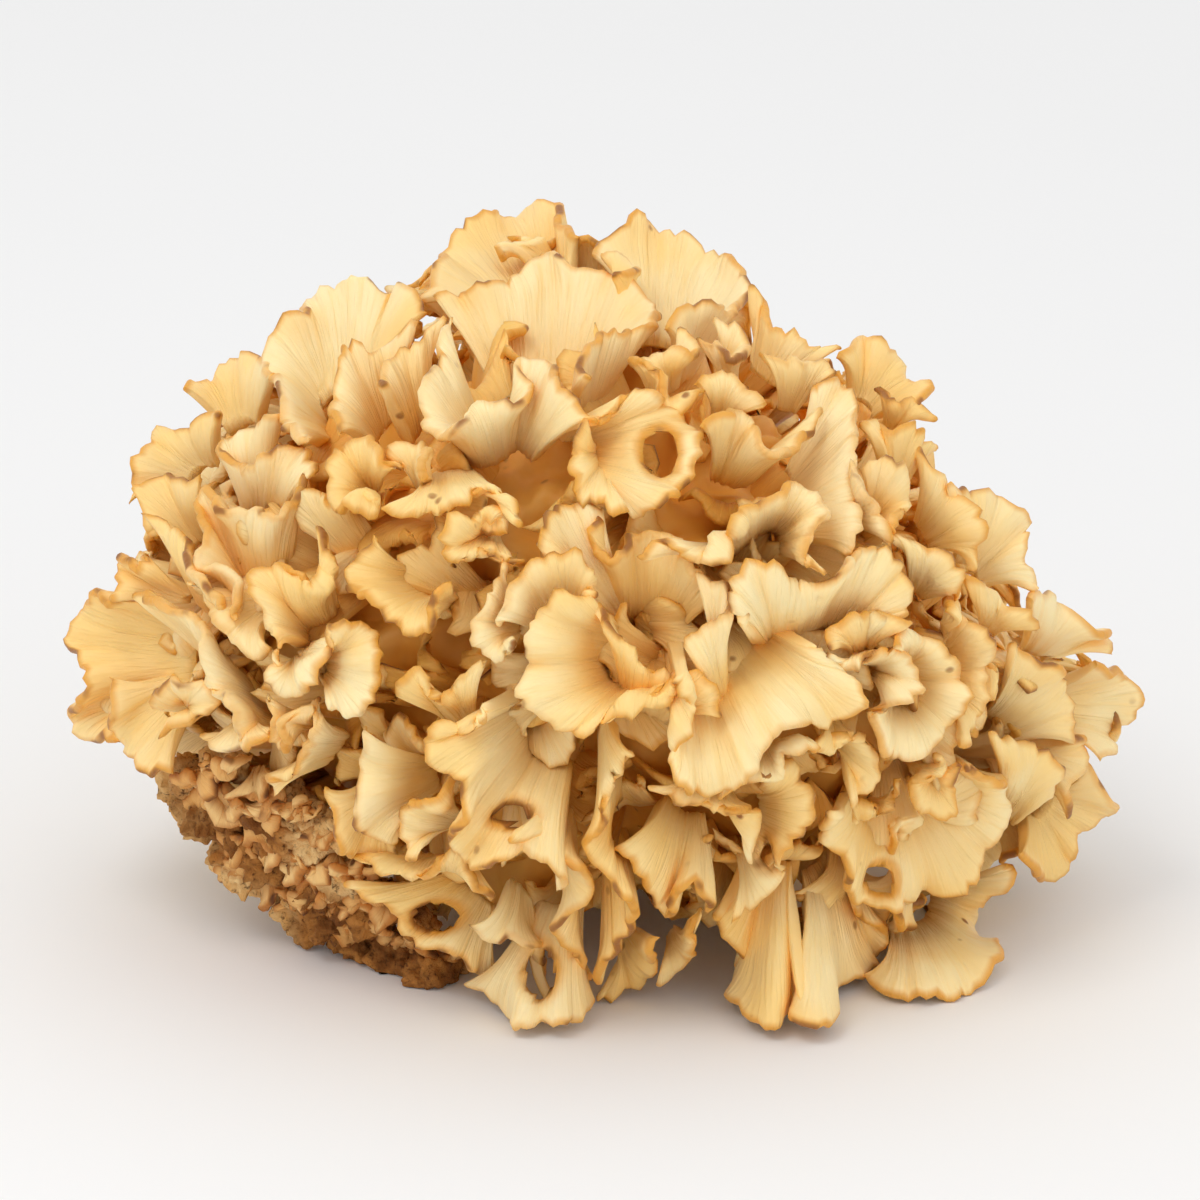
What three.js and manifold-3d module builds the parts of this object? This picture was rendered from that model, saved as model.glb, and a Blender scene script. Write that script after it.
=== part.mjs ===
// Cauliflower mushroom (Sparassis), one fruiting body that grew as a single piece.
// A stout core on a flat cut foot carries ruffled fronds. Every frond is a thin sheet that
// rises out of the core through a narrow root, opens like a fan and ends in a wavy rim.
// Millimetres, +Z up, the cut foot stands on z = 0, the broad side faces -Y.
import * as THREE from "three";
import { mergeVertices } from "three/addons/utils/BufferGeometryUtils.js";
import Module from "manifold-3d";

// ---- driving dimensions ----------------------------------------------------------------
const HALF_WIDTH = 118; // middle of the body to its side fronds
const HALF_HEIGHT = 92; // middle of the body to its crown, across the tilted front
const HALF_DEPTH = 88; // middle of the body to its foremost and rearmost fronds
const CENTRE_Z = 67; // the middle of the body above the surface it stands on
const FRONT_TILT = (20 * Math.PI) / 180; // the front side faces forwards and this much upwards
const DOME_POWER = 2.6; // how square-shouldered the outer dome is
const CORE_SINK = 30; // how far the solid core lies below the outer dome
const BASE_SINK = 44; // the fronds begin this deep, inside the core
const FROND_RIM = 2.6; // thickness of a frond at its rim
const FROND_BASE = 5.5; // thickness of a frond where it leaves the core
const ROOT_SPREAD = 0.3; // how wide a frond's root is, as a share of its rim
const FRONT_BOW = 6; // how far the front fronds bow outwards, half way up
const BACK_BOW = 8; // the same for the fronds behind
const FOOT = { x: -12, y: 4, radius: 46, belly: 8, top: 40 }; // the stem, cut flat below
const BELOW_CUT = 6; // the stem is made this much too long, then cut at the ground
const RIM_STEPS = 5; // grid cells of a frond along its rim
const RISE_STEPS = 3; // grid cells of a frond from the core to its rim
const SMALLEST_DETAIL = 0.5; // facets flatter than this are joined
const MERGE = 1e-3; // corners nearer than this are one
const SKY = 400; // a block of this size holds the whole body

const colour = { flesh: 0xe9c48a };
const up = new THREE.Vector3(0, 0, 1);

const wasm = await Module();
wasm.setup();

// ---- frames ------------------------------------------------------------------------------
// A frame turns (across, up, out) into a place: `out` is measured along its facing direction.
function frame(origin, right, rise, facing) {
  return (a, b, d) =>
    origin
      .clone()
      .addScaledVector(right, a)
      .addScaledVector(rise, b)
      .addScaledVector(facing, d);
}

const sinTilt = Math.sin(FRONT_TILT);
const cosTilt = Math.cos(FRONT_TILT);
const centre = new THREE.Vector3(0, 0, CENTRE_Z);
const front = frame(
  centre,
  new THREE.Vector3(1, 0, 0),
  new THREE.Vector3(0, sinTilt, cosTilt),
  new THREE.Vector3(0, -cosTilt, sinTilt),
);

// Height of the outer dome in front of the middle of the body.
function dome(a, b) {
  const r = Math.hypot(a / HALF_WIDTH, b / HALF_HEIGHT);
  return HALF_DEPTH * (1 - Math.pow(r, DOME_POWER));
}

// ---- a frond -------------------------------------------------------------------------------
// rim: [across, up, proud of the dome] points; root: [across, up, sunk below the dome].
function frond(place, heightAt, root, rim, bow) {
  const middle = rim.reduce((s, p) => [s[0] + p[0] / rim.length, s[1] + p[1] / rim.length], [0, 0]);
  const rimCurve = new THREE.CatmullRomCurve3(
    rim.map(([a, b, proud = 0]) => new THREE.Vector3(a, b, heightAt(a, b) + proud)),
  );
  const grid = [];
  for (let i = 0; i <= RIM_STEPS; i++) {
    const edge = rimCurve.getPoint(i / RIM_STEPS);
    const a = root[0] + ROOT_SPREAD * (edge.x - middle[0]);
    const b = root[1] + ROOT_SPREAD * (edge.y - middle[1]);
    const neck = new THREE.Vector3(a, b, heightAt(root[0], root[1]) - root[2]);
    const deep = neck.clone().multiplyScalar(1 - Math.max(0, BASE_SINK - root[2]) / HALF_DEPTH);
    const belly = neck.clone().lerp(edge, 0.5);
    belly.z += bow;
    const rise = new THREE.CatmullRomCurve3([deep, neck, belly, edge]);
    grid.push(rise.getPoints(RISE_STEPS).map((p) => place(p.x, p.y, p.z)));
  }
  return thicken(grid);
}

// Turns a grid of points into a closed sheet that is thickest at its base.
function thicken(grid) {
  const nu = grid.length;
  const nv = grid[0].length;
  const sides = [[], []];
  const along = new THREE.Vector3();
  const outward = new THREE.Vector3();
  for (let i = 0; i < nu; i++) {
    for (let j = 0; j < nv; j++) {
      along.subVectors(grid[Math.min(i + 1, nu - 1)][j], grid[Math.max(i - 1, 0)][j]);
      outward.subVectors(grid[i][Math.min(j + 1, nv - 1)], grid[i][Math.max(j - 1, 0)]);
      const normal = along.clone().cross(outward).normalize();
      const half = THREE.MathUtils.lerp(FROND_BASE, FROND_RIM, j / (nv - 1)) / 2;
      sides[0].push(grid[i][j].clone().addScaledVector(normal, half));
      sides[1].push(grid[i][j].clone().addScaledVector(normal, -half));
    }
  }
  const points = [...sides[0], ...sides[1]];
  const at = (side, i, j) => side * nu * nv + i * nv + j;
  const faces = [];
  const quad = (p, q, r, s) => faces.push(p, q, r, p, r, s);
  for (let i = 0; i + 1 < nu; i++) {
    for (let j = 0; j + 1 < nv; j++) {
      quad(at(0, i, j), at(0, i + 1, j), at(0, i + 1, j + 1), at(0, i, j + 1));
      quad(at(1, i, j), at(1, i, j + 1), at(1, i + 1, j + 1), at(1, i + 1, j));
    }
    quad(at(0, i, 0), at(1, i, 0), at(1, i + 1, 0), at(0, i + 1, 0));
    quad(at(0, i, nv - 1), at(0, i + 1, nv - 1), at(1, i + 1, nv - 1), at(1, i, nv - 1));
  }
  for (let j = 0; j + 1 < nv; j++) {
    quad(at(0, 0, j), at(0, 0, j + 1), at(1, 0, j + 1), at(1, 0, j));
    quad(at(0, nu - 1, j), at(1, nu - 1, j), at(1, nu - 1, j + 1), at(0, nu - 1, j + 1));
  }
  const geometry = new THREE.BufferGeometry().setFromPoints(points);
  geometry.setIndex(faces);
  return geometry;
}

// ---- the front fronds ------------------------------------------------------------------------
// root: [across, up, depth below the dome]; rim: [across, up, height over the dome] points in order.
const FRONT_FRONDS = {
  crown_back_fan: {
    root: [-14, 62, 30],
    rim: [
      [-39, 73, -6], [-36, 82, -4], [-30, 90, -5], [-20, 94, -4], [-12, 96, -4], [-8, 91, -2],
      [0, 88, -2],
    ],
  },
  crown_front_fan: {
    root: [-14, 47, 26],
    rim: [
      [-39, 72, -6], [-28, 74, -8], [-12, 82, -8], [3, 78, -4], [12, 70, 2], [9, 62, 6],
    ],
  },
  crown_right_fan: {
    root: [14, 58, 28],
    rim: [
      [2, 85, 0], [10, 89, -2], [20, 87, -2], [29, 82, 0], [33, 75, 2], [26, 70, 6],
    ],
  },
  left_crown_fan: {
    root: [-60, 46, 28],
    rim: [
      [-71, 52, 2], [-74, 62, 2], [-66, 71, -6], [-58, 77, -6], [-50, 74, -4], [-43, 75, -6],
    ],
  },
  left_crown_wave: {
    root: [-44, 42, 22],
    rim: [
      [-59, 46, 2], [-56, 58, 2], [-48, 61, 0], [-40, 67, -4], [-33, 67, 0],
    ],
  },
  amber_lip: {
    root: [-15, 36, 26],
    rim: [
      [-38, 46, 6], [-28, 47, 4], [-17, 54, 0], [-13, 59, 2], [-7, 51, 0], [0, 44, 2],
    ],
  },
  hole_lobe: {
    root: [14, 36, 22],
    rim: [
      [18, 47, 0], [9, 51, 0], [0, 46, 2], [-6, 34, 4], [-2, 26, 4], [10, 25, 4],
    ],
  },
  saddle_lobe: {
    root: [38, 28, 24],
    rim: [
      [22, 43, 2], [30, 48, 0], [37, 38, 2], [48, 44, 0], [55, 40, 2], [55, 26, 4], [50, 14, 2],
    ],
  },
  bell_lobe: {
    root: [33, 14, 24],
    rim: [
      [8, 20, 4], [20, 14, 6], [28, 23, 6], [41, 30, 6], [48, 25, 6], [45, 13, 6],
    ],
  },
  valley_lobe: {
    root: [6, -4, 30],
    rim: [
      [-13, 15, 0], [-9, 25, 2], [0, 25, 2], [2, 15, 4], [12, 19, 2], [21, 12, 2],
    ],
  },
  central_lobe: {
    root: [6, -6, 24],
    rim: [
      [-3, 7, 6], [-13, 4, 8], [-17, -10, 10], [-9, -22, 10], [3, -17, 8], [15, -13, 8],
    ],
  },
  great_fan: {
    root: [22, -4, 28],
    rim: [
      [19, -14, 4], [15, -28, 8], [23, -36, 8], [33, -30, 6], [44, -21, 4], [56, -15, 2],
      [49, -5, 0],
    ],
  },
  upper_right_fan: {
    root: [44, -2, 26],
    rim: [
      [29, 3, 4], [30, 12, 4], [43, 9, 6], [52, 12, 4], [60, 18, 0], [67, 10, 0], [64, 1, 0],
    ],
  },
  shell_fan: {
    root: [64, -13, 22],
    rim: [
      [60, -3, 2], [70, -3, 2], [78, -12, 0], [76, -24, 2], [66, -29, 4], [59, -23, 4],
    ],
  },
  right_lobe: {
    root: [76, -8, 20],
    rim: [
      [76, 6, -2], [84, 2, -2], [85, -8, 0], [84, -20, 0], [78, -26, 2],
    ],
  },
  right_fan: {
    root: [84, -20, 20],
    rim: [
      [91, -3, 0], [100, -9, 0], [106, -20, 0], [104, -28, 0],
    ],
  },
  right_crown_fan: {
    root: [56, 46, 20],
    rim: [
      [48, 60, 0], [58, 64, -2], [67, 60, -2], [72, 50, 0], [68, 44, 2],
    ],
  },
  crumpled_lobe: {
    root: [36, 50, 20],
    rim: [
      [17, 66, 0], [24, 64, 0], [32, 64, 0], [42, 66, -2], [50, 60, 0],
    ],
  },
  shoulder_lobe: {
    root: [66, 26, 20],
    rim: [
      [58, 46, 0], [68, 42, 0], [75, 32, 0], [83, 20, 2], [78, 12, 2],
    ],
  },
  shoulder_fan: {
    root: [82, 12, 20],
    rim: [
      [78, 30, -4], [88, 30, -2], [95, 22, 0], [95, 8, 0],
    ],
  },
  upper_mid_lobe: {
    root: [47, 38, 18],
    rim: [
      [40, 48, 2], [47, 53, 0], [55, 50, 0], [58, 38, 2],
    ],
  },
  lower_right_fan: {
    root: [66, -38, 24],
    rim: [
      [50, -39, 4], [51, -56, 6], [66, -61, 8], [82, -56, 6], [91, -42, 2], [84, -30, 0],
      [74, -35, 0],
    ],
  },
  mid_lower_curl: {
    root: [50, -31, 22],
    rim: [
      [47, -23, 0], [54, -24, 2], [61, -33, 4], [56, -38, 4], [49, -40, 2],
    ],
  },
  right_lower_lobe: {
    root: [90, -38, 20],
    rim: [
      [83, -25, 0], [92, -24, 0], [101, -34, 0], [101, -44, 0],
    ],
  },
  edge_upper: {
    root: [98, -8, 14],
    rim: [
      [92, 6, 0], [100, 7, -2], [108, 1, 0], [114, -4, 2],
    ],
  },
  edge_right: {
    root: [100, -18, 16],
    rim: [
      [112, -6, 0], [118, -11, 4], [120, -19, 6], [115, -28, 4],
    ],
  },
  edge_low: {
    root: [96, -38, 16],
    rim: [
      [108, -31, 0], [113, -40, 4], [106, -51, 4], [99, -58, 6], [94, -50, 4],
    ],
  },
  left_wing: {
    root: [-76, 44, 18],
    rim: [
      [-92, 50, 2], [-84, 59, 0], [-74, 59, 0], [-66, 50, 0],
    ],
  },
  left_upper_lobe: {
    root: [-86, 32, 18],
    rim: [
      [-105, 28, 6], [-101, 40, 2], [-92, 44, 0], [-84, 44, 0],
    ],
  },
  left_cup: {
    root: [-74, 28, 22],
    rim: [
      [-69, 47, -2], [-84, 43, 0], [-86, 34, 4], [-74, 33, 2], [-66, 38, 0], [-61, 34, 0],
    ],
  },
  left_smile: {
    root: [-74, -2, 28],
    rim: [
      [-66, 31, -4], [-68, 25, 0], [-77, 25, 2], [-83, 31, 0], [-89, 28, 0],
    ],
  },
  left_ridge: {
    root: [-80, 4, 20],
    rim: [
      [-102, 28, 4], [-92, 19, 4], [-86, 13, 4], [-80, 2, 4],
    ],
  },
  left_mid_lobe: {
    root: [-58, 6, 22],
    rim: [
      [-58, 26, 0], [-58, 14, 2], [-66, 8, 4], [-73, 11, 4], [-72, 2, 4], [-66, -5, 4],
    ],
  },
  left_loop: {
    root: [-60, -6, 20],
    rim: [
      [-69, -5, 2], [-72, -13, 4], [-63, -14, 4], [-57, -2, 4], [-49, -3, 2], [-49, -17, 4],
    ],
  },
  left_edge_fan: {
    root: [-88, -14, 14],
    rim: [
      [-104, 12, 4], [-113, 7, 2], [-120, -4, 4], [-114, -11, 6],
    ],
  },
  left_edge_low: {
    root: [-92, -20, 12],
    rim: [
      [-117, -16, 6], [-117, -25, 6], [-106, -29, 4], [-97, -32, 2],
    ],
  },
  left_loop_low: {
    root: [-84, -20, 18],
    rim: [
      [-97, -15, 2], [-89, -11, 2], [-84, -14, 4], [-78, -23, 4], [-72, -28, 2],
    ],
  },
  mid_left_lobe: {
    root: [-48, 30, 20],
    rim: [
      [-48, 41, 0], [-57, 36, 2], [-56, 25, 4], [-42, 23, 4], [-26, 28, 2], [-17, 23, 2],
    ],
  },
  mid_left_wave: {
    root: [-36, 8, 22],
    rim: [
      [-22, 22, 2], [-33, 18, 4], [-50, 16, 2], [-55, 9, 4], [-42, -1, 6], [-33, 8, 4],
    ],
  },
  mid_curls: {
    root: [-34, -18, 22],
    rim: [
      [-44, -14, 2], [-39, -9, 4], [-35, -16, 4], [-27, -8, 4], [-24, 4, 4], [-20, 9, 2],
    ],
  },
  left_low_lobe: {
    root: [-54, -28, 20],
    rim: [
      [-58, -17, 2], [-63, -26, 2], [-60, -40, 2], [-50, -50, 4],
    ],
  },
  lower_left_fan: {
    root: [-38, -34, 20],
    rim: [
      [-50, -28, 4], [-53, -36, 4], [-50, -46, 4], [-42, -52, 6],
    ],
  },
  front_big_fan: {
    root: [2, -28, 24],
    rim: [
      [-22, -12, 2], [-30, -22, 6], [-38, -28, 8], [-32, -38, 10], [-31, -51, 10],
      [-18, -45, 10],
    ],
  },
  front_web: {
    root: [-28, -54, 20],
    rim: [
      [-55, -50, 0], [-50, -62, 0], [-38, -72, 2], [-24, -79, 6],
    ],
  },
  front_pillar: {
    root: [-4, -52, 22],
    rim: [
      [11, -61, 2], [3, -76, 4], [-6, -86, 6], [-18, -88, 6], [-24, -76, 6],
    ],
  },
  middle_web: {
    root: [22, -38, 22],
    rim: [
      [1, -46, 2], [12, -60, 2], [20, -58, 2], [30, -60, 4], [44, -46, 4], [44, -31, 2],
    ],
  },
  front_right_bell: {
    root: [44, -50, 22],
    rim: [
      [28, -64, 4], [29, -80, 6], [42, -87, 8], [54, -82, 6], [64, -70, 2],
    ],
  },
  right_bottom_lobe: {
    root: [68, -62, 20],
    rim: [
      [60, -80, 2], [74, -83, 4], [86, -76, 4], [84, -66, 2], [89, -56, 0],
    ],
  },
  crust_upper: {
    root: [-76, -30, 16],
    rim: [
      [-95, -32, -14], [-93, -42, -14], [-82, -44, -10], [-76, -52, -8],
    ],
  },
  crust_middle: {
    root: [-62, -44, 18],
    rim: [
      [-81, -53, -12], [-72, -61, -8], [-60, -64, -4], [-50, -60, -2],
    ],
  },
  crust_lower: {
    root: [-48, -58, 18],
    rim: [
      [-57, -68, -4], [-50, -75, 0], [-42, -77, 2], [-34, -74, 2],
    ],
  },
};

const frontFrond = ({ root, rim }) => frond(front, dome, root, rim, FRONT_BOW);

// ---- the fronds behind and on top ----------------------------------------------------------------
// Rows of like fans stand round the back, each turned and waved a little by its own number.
const BACK_ROWS = [
  { rise: -22, count: 7, from: 30, to: 150, reach: 34 },
  { rise: 6, count: 7, from: 12, to: 168, reach: 36 },
  { rise: 36, count: 6, from: 10, to: 170, reach: 36 },
  { rise: 66, count: 3, from: 40, to: 150, reach: 30 },
];
const GOLDEN_TURN = 2.4; // radians, spreads the turns of neighbouring fans
const MOST_TURN = 0.9; // radians, the most that a fan is turned either way
const FAN_STEP = 0.55; // radians between the five points of a fan's rim
const FAN_SINK = 3; // the middle of a fan's rim lies this far below the dome
const FAN_WAVE = 4; // how far a fan's rim waves in and out
const FAN_ROOT = 32; // how deep below the dome a fan's root lies

function backFrond(azimuth, elevation, reach, number) {
  const ring = new THREE.Vector3(Math.cos(azimuth), Math.sin(azimuth), 0);
  const facing = ring.multiplyScalar(Math.cos(elevation)).addScaledVector(up, Math.sin(elevation));
  const right = new THREE.Vector3().crossVectors(up, facing).normalize();
  const upward = new THREE.Vector3().crossVectors(facing, right);
  const turn = Math.sin(number * GOLDEN_TURN) * MOST_TURN;
  right.applyAxisAngle(facing, turn);
  upward.applyAxisAngle(facing, turn);
  const surface = facing.clone().multiply(new THREE.Vector3(HALF_WIDTH, HALF_DEPTH, HALF_HEIGHT));
  const patch = frame(centre.clone().add(surface), right, upward, facing);
  const rim = [];
  for (let k = -2; k <= 2; k++) {
    const angle = k * FAN_STEP;
    const across = reach * Math.sin(angle) * 0.8;
    const rise = reach * (Math.cos(angle) - 0.55);
    rim.push([across, rise, FAN_WAVE * Math.sin(k * 2 + number) - FAN_SINK - Math.abs(k) * 1.5]);
  }
  return frond(patch, () => 0, [0, -reach * 0.35, FAN_ROOT], rim, BACK_BOW);
}

function backFronds() {
  const made = [];
  for (const row of BACK_ROWS) {
    for (let i = 0; i < row.count; i++) {
      const share = row.count > 1 ? i / (row.count - 1) : 0.5;
      const azimuth = THREE.MathUtils.degToRad(THREE.MathUtils.lerp(row.from, row.to, share));
      made.push(backFrond(azimuth, THREE.MathUtils.degToRad(row.rise), row.reach, made.length));
    }
  }
  return made;
}

// ---- the core and the cut foot -----------------------------------------------------------------
function core() {
  const ball = new THREE.SphereGeometry(1, 24, 14);
  ball.scale(HALF_WIDTH - CORE_SINK, HALF_HEIGHT - CORE_SINK, HALF_DEPTH - CORE_SINK);
  ball.rotateX(Math.PI / 2 - FRONT_TILT);
  return ball.translate(centre.x, centre.y, centre.z);
}

function foot() {
  const profile = [
    new THREE.Vector2(0, -BELOW_CUT),
    new THREE.Vector2(FOOT.radius * 0.94, -BELOW_CUT),
    new THREE.Vector2(FOOT.radius, FOOT.belly),
    new THREE.Vector2(FOOT.radius * 0.8, FOOT.top),
    new THREE.Vector2(0, FOOT.top + 10),
  ];
  const stem = new THREE.LatheGeometry(profile, 20).rotateX(Math.PI / 2);
  return stem.translate(FOOT.x, FOOT.y, 0);
}

// ---- joining ---------------------------------------------------------------------------------
function solid(geometry) {
  const bare = new THREE.BufferGeometry().setAttribute("position", geometry.attributes.position);
  bare.setIndex(geometry.index);
  const merged = mergeVertices(bare, MERGE);
  return new wasm.Manifold(
    new wasm.Mesh({
      numProp: 3,
      vertProperties: merged.attributes.position.array,
      triVerts: new Uint32Array(merged.index.array),
    }),
  );
}

function geometryOf(body) {
  const mesh = body.getMesh();
  const geometry = new THREE.BufferGeometry();
  geometry.setAttribute("position", new THREE.BufferAttribute(mesh.vertProperties, 3));
  return geometry.setIndex(new THREE.BufferAttribute(mesh.triVerts, 1));
}

// The outer skin alone: pockets sealed between fronds are flesh, as they are in the real body.
function outerSkin(body) {
  const [largest] = body.decompose().sort((p, q) => q.volume() - p.volume());
  return largest;
}

function fruitingBody() {
  const aboveGround = new THREE.BoxGeometry(SKY, SKY, SKY).translate(0, 0, SKY / 2);
  const sheets = [...Object.values(FRONT_FRONDS).map(frontFrond), ...backFronds()];
  const whole = wasm.Manifold.union([core(), foot(), ...sheets].map(solid)).intersect(solid(aboveGround));
  const skin = outerSkin(whole.simplify(SMALLEST_DETAIL));
  const geometry = geometryOf(outerSkin(solid(geometryOf(skin)).simplify(SMALLEST_DETAIL)));
  geometry.computeBoundingBox();
  const middle = geometry.boundingBox.getCenter(new THREE.Vector3());
  geometry.translate(-middle.x, -middle.y, 0);
  geometry.computeVertexNormals();
  return geometry;
}

const flesh = new THREE.MeshStandardMaterial({ color: colour.flesh, roughness: 0.55, metalness: 0 });
const body = new THREE.Mesh(fruitingBody(), flesh);
body.name = "fruiting_body";

const mushroom = new THREE.Group();
mushroom.add(body);

export default mushroom;
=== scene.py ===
"""The looks of a cauliflower mushroom: ruffled fronds on a core, with a crumbly rooting base."""
import math

import bpy
import numpy as np
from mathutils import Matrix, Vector


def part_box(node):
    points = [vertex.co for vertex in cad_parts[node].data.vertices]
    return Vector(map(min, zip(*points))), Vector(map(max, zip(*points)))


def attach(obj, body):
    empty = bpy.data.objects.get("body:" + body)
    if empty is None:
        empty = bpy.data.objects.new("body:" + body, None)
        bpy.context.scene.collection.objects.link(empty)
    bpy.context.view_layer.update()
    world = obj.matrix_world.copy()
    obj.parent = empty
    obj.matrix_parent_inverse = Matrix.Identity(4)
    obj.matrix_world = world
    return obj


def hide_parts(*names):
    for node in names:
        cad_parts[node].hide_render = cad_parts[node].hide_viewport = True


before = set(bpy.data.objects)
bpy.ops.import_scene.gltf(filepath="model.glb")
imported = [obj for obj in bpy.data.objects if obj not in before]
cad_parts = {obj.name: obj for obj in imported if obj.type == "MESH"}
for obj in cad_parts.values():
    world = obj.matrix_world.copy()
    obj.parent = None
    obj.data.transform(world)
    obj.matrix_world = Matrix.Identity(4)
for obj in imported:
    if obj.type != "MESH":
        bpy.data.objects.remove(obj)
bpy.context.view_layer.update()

# ---- the frame -----------------------------------------------------------------------------
# Lengths are millimetres until mesh_from turns them into metres.
MM = 0.001
NODE = "fruiting_body"
BOX_LOW, BOX_HIGH = (np.array(corner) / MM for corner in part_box(NODE))
SIZE = BOX_HIGH - BOX_LOW
HALF_WIDTH = 0.488 * SIZE[0]
HALF_HEIGHT = 0.590 * SIZE[2]
HALF_DEPTH = 0.472 * SIZE[1]
CENTRE = np.array([0.0, 0.025 * SIZE[1], 0.429 * SIZE[2]])
FRONT_TILT = math.radians(20)
SIN_TILT = math.sin(FRONT_TILT)
COS_TILT = math.cos(FRONT_TILT)
RIGHT = np.array([1.0, 0.0, 0.0])
RISE = np.array([0.0, SIN_TILT, COS_TILT])
OUT = np.array([0.0, -COS_TILT, SIN_TILT])
DOME_POWER = 2.6
GROUND_GAP = 0.3  # the lowest flesh stays this far above the ground
FOOT_CENTRE = np.array([-12.0, 4.0])
FOOT_RADIUS = 46.0

# ---- fronds --------------------------------------------------------------------------------
RIM_THICKNESS = 2.1
BASE_THICKNESS = 4.4
STEP = 1.25  # spacing of a frond's columns along its rim
END_STEPS = (0.12, 0.45)  # extra columns this near a frond's ends round them off
FACE_ROWS = 13  # rows of a frond from its root almost to its rim
RISE_SHARES = np.concatenate([np.linspace(0, 0.93, FACE_ROWS) ** 0.9, [0.962, 0.983, 0.994, 1.0]])
LIP = 9.0  # the rim curls within this distance of its edge
LIP_CURL = 4.2
RUFFLE = 1.7
SCALLOP = 4.8
SCALLOP_DEPTH = 1.8
FRILL = 1.1
FLESHY = 1.3  # folds tighter than this are rounded off
ROOT_SPREAD = 0.36  # how much narrower than its rim a frond is at its root
CALM = 9.0  # waves of the rim shorter than about this don't reach down into the face
LATEST_PHASE = 6.3  # a wave starts anywhere in a whole turn
NO_HOLE = 1000.0  # the clearance of a frond without holes
TINY = 1e-9  # keeps a division clear of zero
rng = np.random.default_rng(17)


def dome(a, b):
    """Height of the outer dome in front of the body's middle plane."""
    reach = np.hypot(a / HALF_WIDTH, b / HALF_HEIGHT)
    return HALF_DEPTH * (1 - reach**DOME_POWER)


def ground_height(b):
    """The depth at which the front plane's line of sight meets the ground."""
    return (-CENTRE[2] + GROUND_GAP - b * COS_TILT) / SIN_TILT


def front_height(a, b):
    return np.maximum(dome(a, b), ground_height(b))


def front_place(a, b, d):
    return CENTRE + a[..., None] * RIGHT + b[..., None] * RISE + d[..., None] * OUT


def spline(points, step):
    """A Catmull-Rom curve through the points, resampled at even steps along its length."""
    p = np.asarray(points, float)
    padded = np.vstack([2 * p[0] - p[1], p, 2 * p[-1] - p[-2]])
    pieces = []
    for k in range(1, len(padded) - 2):
        p0, p1, p2, p3 = padded[k - 1 : k + 3]
        t = np.linspace(0, 1, 12, endpoint=False)[:, None]
        pieces.append(
            0.5 * (2 * p1 + (p2 - p0) * t + (2 * p0 - 5 * p1 + 4 * p2 - p3) * t**2
                   + (3 * p1 - p0 - 3 * p2 + p3) * t**3)
        )
    curve = np.vstack([*pieces, p[-1:]])
    lengths = np.concatenate([[0], np.cumsum(np.linalg.norm(np.diff(curve, axis=0), axis=1))])
    count = max(12, int(lengths[-1] / step))
    ends = np.array(END_STEPS)
    stops = np.linspace(0, lengths[-1], count)
    stops = np.concatenate([[0], ends, stops[1:-1], lengths[-1] - ends[::-1], [lengths[-1]]])
    even = np.column_stack([np.interp(stops, lengths, curve[:, k]) for k in range(p.shape[1])])
    return even, stops


def calmed(curve, s, reach):
    """The curve with its short waves taken out: each point is the mean of those within reach."""
    weight = np.exp(-0.5 * ((s[:, None] - s[None, :]) / reach) ** 2)
    weight /= weight.sum(axis=1, keepdims=True)
    return (weight @ curve.reshape(len(s), -1)).reshape(curve.shape)


def waves(s, wavelengths, draw):
    """A sum of sine waves of unit height along s, each with its own phase."""
    total = np.zeros_like(s)
    for wavelength in wavelengths:
        length = wavelength * draw.uniform(0.8, 1.25)
        total += np.sin(2 * math.pi * s / length + draw.uniform(0, LATEST_PHASE))
    return total / len(wavelengths)


def grid_normals(grid):
    along = np.gradient(grid, axis=0)
    outward = np.gradient(grid, axis=1)
    normal = np.cross(along, outward)
    length = np.linalg.norm(normal, axis=2, keepdims=True)
    return normal / np.maximum(length, TINY)


def frond(place, height, root, rim, proud=(0, 0, 0), bow=7.0, ruffle=RUFFLE, spread=ROOT_SPREAD,
          holes=(), step=STEP):
    """One closed sheet that rises from its root and opens into its rim."""
    draw = np.random.default_rng(int(1000 + 7 * abs(root[0]) + 13 * abs(root[1]) + 31 * len(rim)))
    edge, s = spline(rim, step)
    share = s / s[-1]
    lift = np.interp(share, [0, 0.5, 1], proud) + 1.5 * waves(s, [23, 37], draw)
    crown = height(edge[:, 0], edge[:, 1]) + lift
    tip = np.column_stack([edge, crown])
    calm = calmed(tip, s, CALM)
    a0, b0, sink = root
    bottom = height(np.array([a0]), np.array([b0]))[0] - sink
    throat = draw.uniform(0.52, 0.76)
    breadth = spread * draw.uniform(1.0, 1.5)
    neck = np.column_stack([
        a0 + breadth * (calm[:, 0] - calm[:, 0].mean()),
        b0 + breadth * (calm[:, 1] - calm[:, 1].mean()),
        np.full(len(s), bottom),
    ])
    v = RISE_SHARES
    rising = neck + (calm - neck) * [0.14, 0.14, throat]
    flaring = neck + (calm - neck) * [0.62, 0.62, 0.93] + np.array([0, 0, 0.8 * bow])
    t = v[None, :, None]
    grid = (
        (1 - t) ** 3 * neck[:, None]
        + 3 * (1 - t) ** 2 * t * rising[:, None]
        + 3 * (1 - t) * t**2 * flaring[:, None]
        + t**3 * tip[:, None]
    )
    clearance, grid = pierced(grid, holes)
    grid = place(grid[..., 0], grid[..., 1], grid[..., 2])
    return closed_sheet(grid, s, v, ruffle, clearance, draw)


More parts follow.
